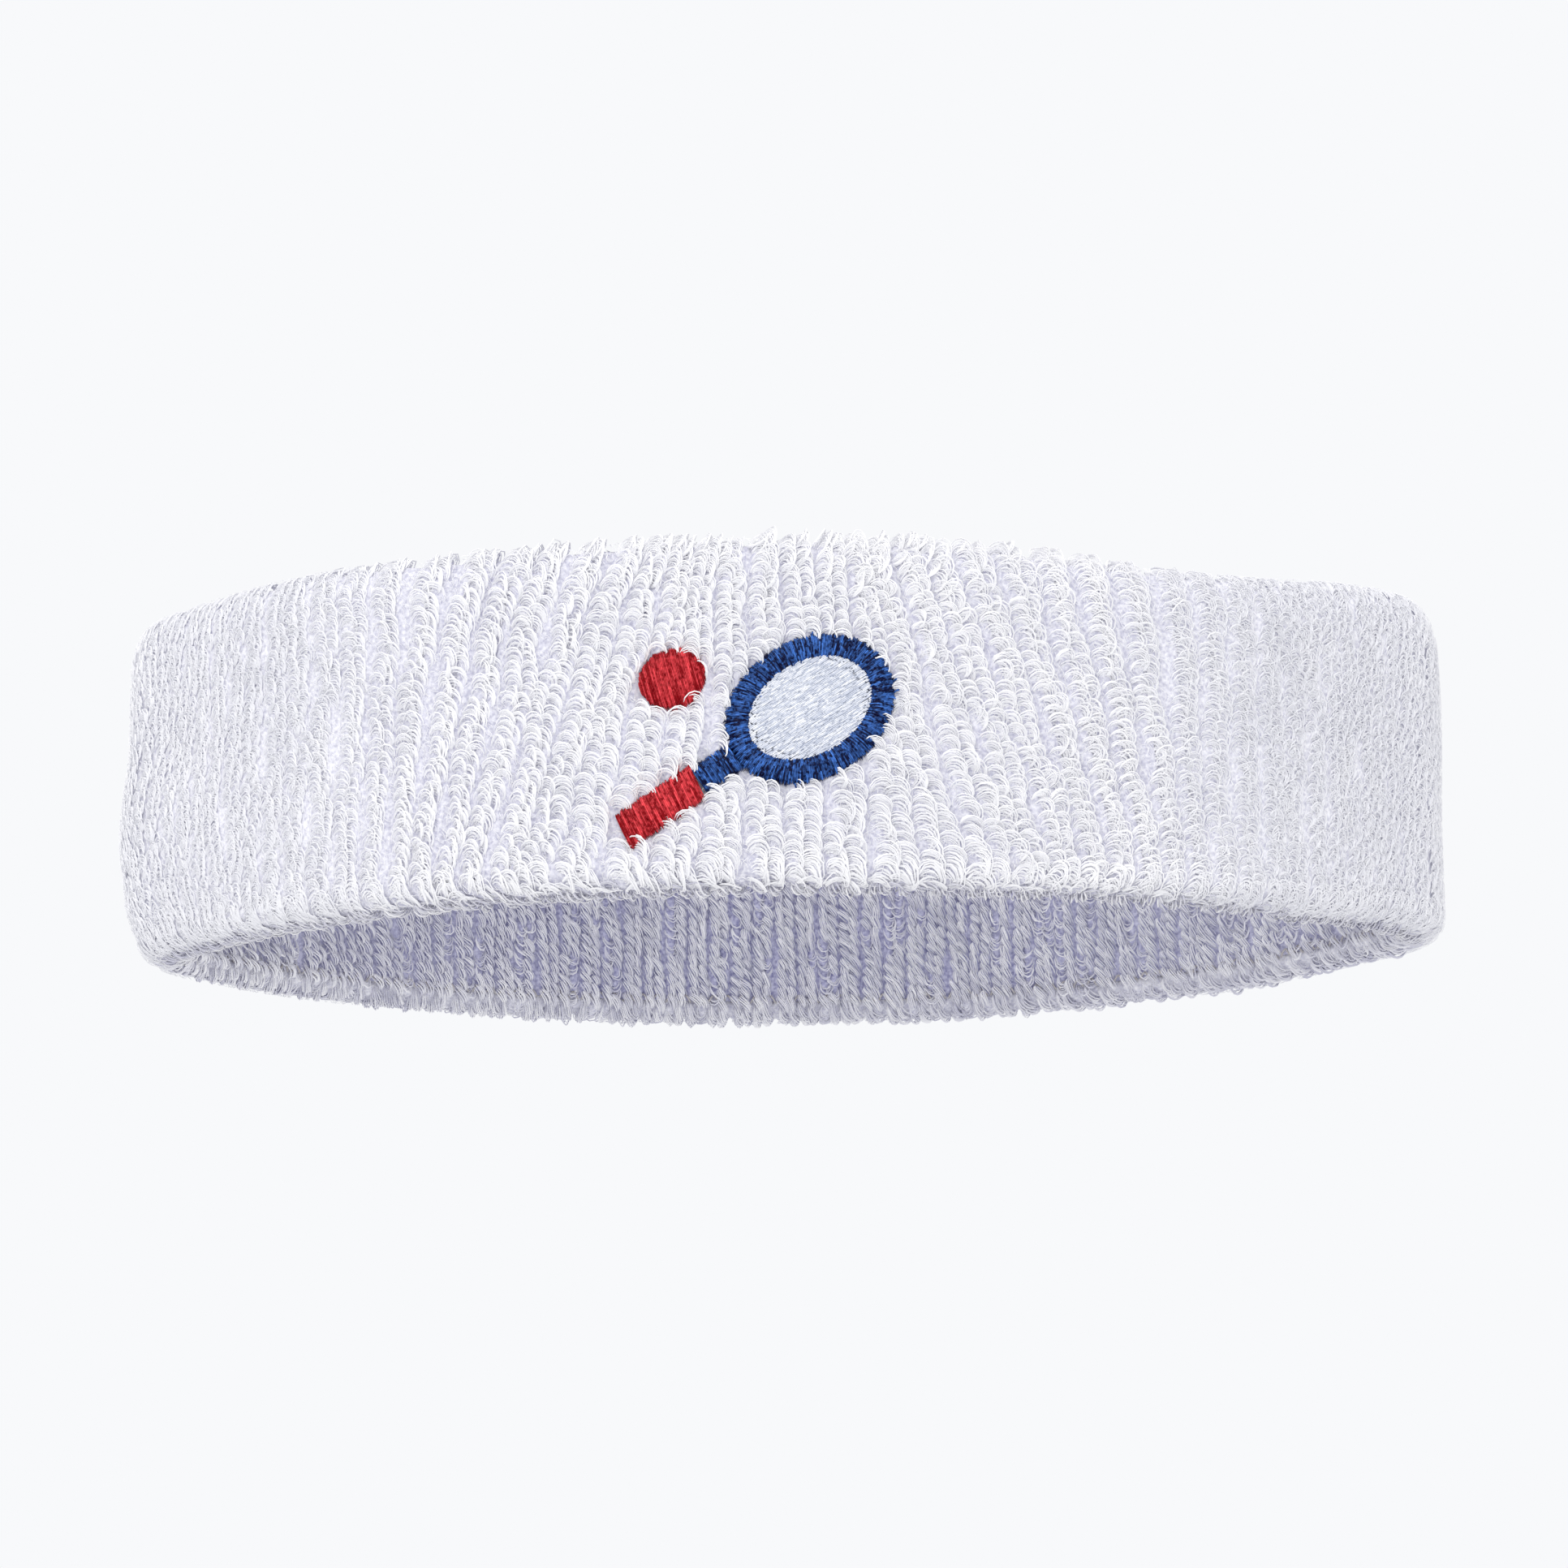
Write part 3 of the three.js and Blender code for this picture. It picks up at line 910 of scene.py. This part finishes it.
def pile_strands(loops, offsets, strands, points):
    """The strands of some loops, without those that would lie over the emblem."""
    offset, flat = offsets(loops, strands, points)
    path = follow(loops["s"][:, None, None], loops["q"][:, None, None], offset)
    _, around, along, out = on_band(loops["s"], loops["q"])
    flat = flat[:, :1] * around + flat[:, 1:2] * along + flat[:, 2:] * out
    crown = path[:, :, points // 2]
    kept = ~(loops["front"][:, None] & (outside_emblem(crown[..., 0], crown[..., 2]) < -PILE_CLEAR))
    uv = np.stack([loops["s"] / plan.length, loops["q"] / profile.length], -1)
    return {
        "path": path[kept],
        "flat": np.broadcast_to(flat[:, None], path.shape[:2] + (3,))[kept],
        "tone": pile_tone(loops, strands)[kept],
        "uv": np.broadcast_to(uv[:, None], path.shape[:2] + (2,))[kept],
    }


def joined(parts):
    return {key: np.concatenate([part[key] for part in parts]) for key in parts[0]}


def sector_strands(sector, side):
    """How many strands a loop has and how finely each is bent: more where they are seen from nearby."""
    to_front = abs((sector + 0.5) / SECTORS - 0.5) * 2
    if side == "inner":
        return (SEEN_INNER_STRANDS if to_front < INNER_SEEN_UNTIL else INNER_STRANDS), PATH_POINTS
    strands = next(count for start, count in OUTER_STRANDS if to_front > start)
    return strands, (FRONT_POINTS if strands == FRONT_STRANDS else PATH_POINTS)


def make_pile(side, loops, radius, material):
    """The strands of one face, in pieces counted from the front centre towards +X."""
    pieces = []
    sector_of = np.floor(np.mod(loops["s"], plan.length) / plan.length * SECTORS).astype(int)
    for sector in range(SECTORS):
        part = some(loops, sector_of == sector)
        strands, points = sector_strands(sector, side)
        ropes = part["inside"] & ~part["open"]
        kinds = [pile_strands(some(part, ~ropes), arch_offsets, strands, points)]
        if ropes.any():
            kinds.append(pile_strands(some(part, ropes), rope_offsets, strands, points))
        made = joined(kinds)
        name = f"{side}_pile_{sector + 1:02d}"
        seen_inside = side == "inner" and strands == SEEN_INNER_STRANDS
        size = radius * (SEEN_INNER_THINNER if seen_inside else 1)
        mesh = strands_mesh(name, made["path"], made["flat"], size, made["tone"], made["uv"],
                            flat_shaded=side == "outer" or seen_inside)
        pieces.append(add_object(name, mesh, material))
    return pieces


def fuzz_offsets(calm):
    """Short curved fibres that lie close to the pile's surface."""
    count = len(calm)
    t = np.linspace(0, 1, FUZZ_POINTS)
    arch = 4 * t * (1 - t)
    turn = np.radians(draw.normal(-35, 40 - 15 * calm, count))
    long = FUZZ_LENGTH * draw.uniform(0.5, 1.4, count)
    curl = draw.normal(0, 0.25, count) * MM
    rise = (0.25 + 0.75 * draw.uniform(0, 1, count)) * (1 - calm) + (CALM_RISE / MM + 0.35) * calm
    run = long[:, None] * (t - 0.5)
    bow = curl[:, None] * arch
    sin, cos = np.sin(turn)[:, None], np.cos(turn)[:, None]
    return np.stack([run * sin + bow * cos, run * cos - bow * sin,
                     rise[:, None] * MM + 0.25 * MM * arch], -1)


def make_fuzz(material):
    """Fine loose fibres over the outer face, which soften the pile."""
    pieces = []
    count = int(FUZZ_PER_AREA * 2 * FUZZ_REACH * profile.crest / FUZZ_PIECES)
    for number in range(FUZZ_PIECES):
        s = ((number + draw.uniform(0, 1, count)) / FUZZ_PIECES * 2 - 1) * FUZZ_REACH
        q = draw.uniform(UNDERSIDE, profile.crest, count)
        calm = calm_at(s)
        path = follow(s[:, None], q[:, None], fuzz_offsets(calm))
        middle = path[:, FUZZ_POINTS // 2]
        kept = ~((middle[:, 1] < 0) & (outside_emblem(middle[:, 0], middle[:, 2]) < FUZZ_CLEAR))
        path = path[kept]
        _, _, _, out = on_band(s[kept], q[kept])
        # Painted shade: the fibres are darker round the two ends, as the pile is there.
        tone = 0.85 - 0.6 * calm[kept] + draw.normal(0, 0.08, len(path))
        name = f"outer_fuzz_{number + 1:02d}"
        mesh = strands_mesh(name, path, out, FUZZ_RADIUS, np.clip(tone, 0, 1), flat_shaded=True)
        pieces.append(add_object(name, mesh, material))
    return pieces


def make_piles(outer_material, inner_material):
    loops = make_pile_loops()
    outer = some(loops, ~loops["inside"])
    inner = some(loops, loops["inside"])
    return {
        "outer": make_pile("outer", outer, OUTER_STRAND_RADIUS, outer_material)
        + make_fuzz(outer_material),
        "inner": make_pile("inner", inner, INNER_STRAND_RADIUS, inner_material),
    }


# ---- the ground knit

def ground_swell(s, rib, outer):
    """How far the ground knit swells out under each column of loops and where the pile is smooth."""
    away = np.abs(plan.from_front(s))
    calm = calm_at(s)
    ordered = smoothstep(away, ORDER_FROM, ORDER_FULL)[:, None] * outer
    filled = ORDERED_FILL * ordered * (1 - calm[:, None])
    lifted = CALM_GROUND * calm * (1 - END_GROUND_DROP * hump(away, plan.length / 4, END_REACH))
    return RIB * rib[:, None] * (1 - 0.85 * calm[:, None]) + lifted[:, None] * outer + filled


def ground_mesh(name, q_low, q_high):
    """A closed thin shell round the band, from q_low to q_high, with a rib under each column of loops."""
    column_s, _ = column_places()
    after = np.append(column_s[1:], column_s[0] + plan.length)
    share = np.arange(RIB_STEPS) / RIB_STEPS
    s = (column_s[:, None] * (1 - share) + after[:, None] * share).ravel()
    rib = np.tile(np.abs(np.cos(share * math.pi)), len(column_s))
    q = np.linspace(q_low, q_high, GROUND_STEPS)
    _, height, _, _ = profile.at(q)
    _, _, _, out = on_band(s[:, None], q[None, :])
    out_x, out_y, _, _, _ = plan.at(s[:, None])
    outer = smoothstep(out[..., 0] * out_x + out[..., 1] * out_y, -TURN, TURN)
    around_s = s[:, None] + fan(s[:, None], height[None, :], outer)
    front, _, _, out = on_band(around_s, q[None, :])
    back = front - out * GROUND
    edge = np.minimum(q - q_low, q_high - q) / GROUND_EDGE
    swell = ground_swell(s, rib, outer)
    front = front + out * (swell * np.clip(edge, 0, 1)[None, :])[..., None]
    section = np.concatenate([front, back[:, ::-1]], axis=1)
    around, each, _ = section.shape
    index = np.arange(around * each).reshape(around, each)
    after = np.roll(index, -1, axis=0)
    faces = np.stack([index, after, np.roll(after, -1, axis=1), np.roll(index, -1, axis=1)], -1)
    corners = faces.reshape(-1, 4).ravel()
    there_and_back = np.concatenate([q, q[::-1]])[None, :]
    uv = np.stack(np.broadcast_arrays((s / plan.length)[:, None], there_and_back / profile.length), -1)
    # Low tone, for painted shade in the grooves between the loops, and higher round the two ends, where
    # the ground is lifted near the top of the flattened pile.
    tone = np.repeat(0.35 + 0.35 * calm_at(s), each)
    return mesh_from(name, section.reshape(-1, 3), corners, np.full(around * each, 4), tone,
                     uv.reshape(-1, 2))


# ---- the embroidery

def stitches(ends, edge, top, start=0.0, stop=1.0, dip=0.0):
    """Threads along the lines ends[:, 0] to ends[:, 1] in (x, z), each from share start to share stop. The
    surface is crowned from inset edge to inset top, and each thread dips at its ends."""
    u = np.linspace(0, 1, STITCH_POINTS)
    start, stop = (np.broadcast_to(share, len(ends))[:, None] for share in (start, stop))
    t = start * (1 - u) + stop * u
    xz = ends[:, :1] * (1 - t)[..., None] + ends[:, 1:] * t[..., None]
    crown = np.clip(1 - (2 * t - 1) ** 2, 0, 1) ** 0.6
    arch = (1 - (2 * u - 1) ** 2) ** 0.5
    inset = edge + (top - edge) * crown + dip * (1 - arch) + draw.normal(0, 0.025, t.shape) * MM
    path, _ = on_front(xz[..., 0], xz[..., 1], inset)
    run = path[:, -1] - path[:, 0]
    _, out = on_front(xz[:, STITCH_POINTS // 2, 0], xz[:, STITCH_POINTS // 2, 1], 0.0)
    flat = unit(np.cross(run, out))
    # Painted sheen across the threads, painted glints along each thread and painted shade at its ends, all
    # in the tone.
    sheen = smooth_noise((len(ends), 1), 3)[:, 0] if len(ends) > 3 else 0
    tone = STITCH_TONE + SHEEN * sheen + draw.normal(0, STREAKS, len(ends))
    tone = tone[:, None] + draw.normal(0, GLINTS, t.shape) - END_SHADE * (1 - arch)
    return {"path": path, "flat": flat, "tone": np.clip(tone, 0, 1)}


def ragged(ends, size=0.11 * MM, sway=0.02 * MM):
    """Ends a little uneven, as a machine leaves them."""
    run = ends[:, 1] - ends[:, 0]
    run = run / np.maximum(np.linalg.norm(run, axis=1, keepdims=True), 1e-9)
    first = ends[:, 0] - run * draw.normal(0, 1, (len(ends), 1)) * size
    last = ends[:, 1] + run * draw.normal(0, 1, (len(ends), 1)) * size
    return np.stack([first, last], axis=1) + draw.normal(0, 1, ends.shape) * sway


def split_stitches(ends, edge, top):
    """Each line as two stitches that meet at an uneven place."""
    lines = ragged(ends)
    meet = draw.uniform(0.2, 0.8, len(ends))
    return [stitches(lines, edge, top, stop=meet + SPLIT_OVERLAP, dip=SATIN_DIP),
            stitches(lines, edge, top, start=meet - SPLIT_OVERLAP, dip=SATIN_DIP)]


def stray_ends(ends, count, edge):
    """Loose thread ends along one side of a satin column."""
    chosen = ends[draw.integers(0, len(ends), count)]
    run = unit(chosen[:, 1] - chosen[:, 0])
    at_end = draw.integers(0, 2, count)[:, None]
    base = np.where(at_end == 1, chosen[:, 1], chosen[:, 0])
    away = np.where(at_end == 1, run, -run) + draw.normal(0, 0.6, (count, 2))
    reach = draw.uniform(0.3, 0.9, (count, 1)) * MM
    lines = np.stack([base - away * reach * 0.6, base + away * reach], axis=1)
    return stitches(lines, edge, edge - STRAY_RISE, dip=STRAY_DIP)


def add_threads(name, parts, material, node):
    """One piece of all the stitches in parts, which stands for a CAD node."""
    made = joined(parts)
    mesh = strands_mesh(name, made["path"], made["flat"], STITCH_RADIUS, made["tone"], sides=THREAD_SIDES)
    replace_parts(add_object(name, mesh, material), node)


def make_satin(name, ends, material, node):
    """Satin stitches in two layers, with a few loose ends."""
    upper = split_stitches(ends, SATIN_EDGE_INSET, SATIN_TOP_INSET)
    lower = stitches(ragged(ends), SATIN_EDGE_INSET + LOWER_LAYER, SATIN_TOP_INSET + LOWER_LAYER,
                     dip=LOWER_DIP)
    strays = stray_ends(ends, len(ends) // STRAY_SHARE, SATIN_EDGE_INSET)
    add_threads(name, upper + [lower, strays], material, node)


def bar_ends(start, length, width, slant=0.0):
    """Stitches across a bar of the racket."""
    along = np.arange(SPACING / 2, length, SPACING) + start
    half = width / 2
    low = from_racket(along - slant, np.full_like(along, -half))
    high = from_racket(along + slant, np.full_like(along, half))
    return np.stack([low, high], axis=1)


def ring_ends():
    """Stitches across the racket's frame, all round it."""
    middle_long = HEAD_LONG - FRAME_WIDTH / 2
    middle_short = HEAD_SHORT - FRAME_WIDTH / 2
    fine = np.linspace(0, TAU, SAMPLES)
    travelled = summed(np.hypot(middle_long * np.diff(np.cos(fine)), middle_short * np.diff(np.sin(fine))))
    count = int(travelled[-1] / (SPACING * RING_CLOSER))
    angle = np.interp(np.arange(count) / count * travelled[-1], travelled, fine)
    outer = from_racket(HEAD_ALONG + HEAD_LONG * np.cos(angle), HEAD_SHORT * np.sin(angle))
    inner = from_racket(HEAD_ALONG + (HEAD_LONG - FRAME_WIDTH) * np.cos(angle),
                        (HEAD_SHORT - FRAME_WIDTH) * np.sin(angle))
    return np.stack([inner, outer], axis=1)


def ball_ends(slant):
    """Stitches across the ball, side by side."""
    offset = np.arange(-BALL_RADIUS + SPACING / 2, BALL_RADIUS, SPACING)
    half = np.sqrt(BALL_RADIUS ** 2 - offset ** 2)
    cos, sin = math.cos(slant), math.sin(slant)
    first = np.stack([BALL_X + offset * cos + half * sin, BALL_Z + offset * sin - half * cos], -1)
    last = np.stack([BALL_X + offset * cos - half * sin, BALL_Z + offset * sin + half * cos], -1)
    return np.stack([first, last], axis=1)


def fill_rows():
    """Rows across the racket's string bed, end to end."""
    long = HEAD_LONG - FRAME_WIDTH + FILL_OVERLAP
    short = HEAD_SHORT - FRAME_WIDTH + FILL_OVERLAP
    row = np.arange(-short + SPACING / 2, short, SPACING)
    reach = long * np.sqrt(1 - (row / short) ** 2)
    first = from_racket(HEAD_ALONG - reach, row)
    last = from_racket(HEAD_ALONG + reach, row)
    return np.stack([first, last], axis=1), 2 * reach


def make_fill(name, material, node):
    """Short stitches end to end in staggered rows, over a layer of whole rows."""
    rows, length = fill_rows()
    parts = []
    for row, size in zip(rows, length):
        stops = np.arange(draw.uniform(0.1, 1.0) * FILL_STITCH, size, FILL_STITCH)
        stops = stops + draw.normal(0, 0.15, len(stops)) * MM
        stops = stops[(stops > FILL_SHORTEST) & (stops < size - FILL_SHORTEST)]
        stops = np.concatenate([[0], stops, [size]]) / size
        shape = (len(stops) - 1, 2, 2)
        line = np.broadcast_to(row, shape) + draw.normal(0, 0.03, shape) * MM
        parts.append(stitches(line, FILL_INSET, FILL_INSET, stops[:-1], stops[1:], FILL_DIP))
    parts.append(stitches(rows + SPACING / 2, FILL_UNDER_INSET, FILL_UNDER_INSET))
    add_threads(name, parts, material, node)


def make_embroidery():
    # For the blue and red threads the light colour is a painted highlight; for all three the dark colour
    # is painted shade.
    blue = shiny_thread("blue_thread", dark=(0.0003, 0.0022, 0.034), light=(0.070, 0.22, 0.70))
    red = shiny_thread("red_thread", dark=(0.25, 0.0003, 0.004), light=(1.0, 0.09, 0.11))
    white = shiny_thread("white_thread", dark=(0.58, 0.62, 0.72), light=(0.97, 0.98, 1.0))
    shaft = bar_ends(SHAFT_START, SHAFT_LENGTH + SHAFT_OVERLAP, SHAFT_WIDTH)
    grip = bar_ends(GRIP_START, GRIP_LENGTH, GRIP_WIDTH, GRIP_SLANT)
    make_satin("racket_frame_stitches", ring_ends(), blue, "embroidered_racket_frame")
    make_satin("racket_shaft_stitches", shaft, blue, "embroidered_racket_shaft")
    make_satin("racket_grip_stitches", grip, red, "embroidered_racket_grip")
    make_satin("ball_stitches", ball_ends(BALL_SLANT), red, "embroidered_ball")
    make_fill("string_bed_stitches", white, "embroidered_string_bed")


# ---- the closing seam

def make_seam(material):
    """The overlocked thread that closes the tube, half buried between the loops inside."""
    count = int(plan.length / SEAM_STITCH)
    start = np.arange(count) / count * plan.length
    t = np.linspace(0, 1, PATH_POINTS)
    rise = (0.15 + 0.35 * np.sin(math.pi * t)) * MM
    leans, ways = (0.15, 0.55), (-1, 1)
    across = SEAM_REACH * (2 * t - 1)
    there_and_back = [np.stack([lean * SEAM_STITCH + 0.42 * SEAM_STITCH * t, across * way, rise], -1)
                      for lean, way in zip(leans, ways)]
    offset = np.repeat(there_and_back, count, axis=0)
    s = np.tile(start, 2)[:, None]
    q = np.full_like(s, profile.length - SEAM_INSET)
    path = follow(s, q, offset)
    flat = np.tile([0.0, 0.0, 1.0], (len(path), 1))
    tone = draw.uniform(0.3, 0.7, len(path))
    mesh = strands_mesh("closing_seam_stitches", path, flat, SEAM_RADIUS, tone, sides=THREAD_SIDES)
    piece = add_object("closing_seam_stitches", mesh, material)
    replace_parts(piece, "closing_seam_thread")


# ---- making the scene

def dress_inside():
    """Materials for the CAD nodes that stay, all inside the wall."""
    looks = {
        "elastic": grainy("cut_rubber", (0.62, 0.57, 0.46), (0.78, 0.74, 0.64), 900, 0.6),
        "backing": grainy("backing_felt", (0.74, 0.74, 0.72), (0.93, 0.93, 0.90), 1500, 0.9),
        "bobbin_thread": grainy("bobbin_thread", (0.76, 0.76, 0.80), (0.94, 0.94, 0.96), 2200, 0.6),
    }
    for row in frame["record"]["subparts"]:
        if row["material_slot"] in looks:
            node = frame["nodes"][row["node"]]
            for holder in node.material_slots:
                holder.material = looks[row["material_slot"]]


def make_band():
    outer_cotton = cotton("outer_cotton", (0.775, 0.78, 0.82), (0.98, 0.98, 0.985))
    # inner_cotton is a darker, bluer copy of the same cotton: its low end is painted shade on the inside
    # of the wall.
    inner_cotton = cotton("inner_cotton", (0.55, 0.55, 0.67), (1.0, 1.0, 1.0),
                          sheen=0.3, roughness=0.42, specular=0.6)
    # The ground knit is the same cotton, coloured darker and bluer as painted shade between the loops,
    # darker still inside.
    outer_knit = ground_knit("outer_knit", (0.50, 0.50, 0.62), (0.92, 0.92, 0.96))
    inner_knit = ground_knit("inner_knit", (0.27, 0.27, 0.46), (0.74, 0.74, 0.89))
    piles = make_piles(outer_cotton, inner_cotton)
    half = profile.crest
    outer_mesh = ground_mesh("outer_ground_knit", 0, half - CREST_GAP)
    inner_mesh = ground_mesh("inner_ground_knit", half + CREST_GAP, profile.length - SEAM_GAP)
    outer = add_object("outer_ground_knit", outer_mesh, outer_knit)
    inner = add_object("inner_ground_knit", inner_mesh, inner_knit)
    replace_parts(outer, "outer_terry_layer")
    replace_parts(inner, "inner_terry_layer")


make_camera()
make_world()
make_lamps()
make_floor()
make_band()
make_embroidery()
# The seam thread is a real thread; its dark brownish grey is painted shade of the crease it lies in.
make_seam(grainy("seam_cotton", (0.46, 0.43, 0.42), (0.62, 0.60, 0.60), 2600, 0.7))
dress_inside()
bpy.context.scene.view_settings.view_transform = "Standard"
bpy.context.scene.cycles.diffuse_bounces = LIGHT_BOUNCES
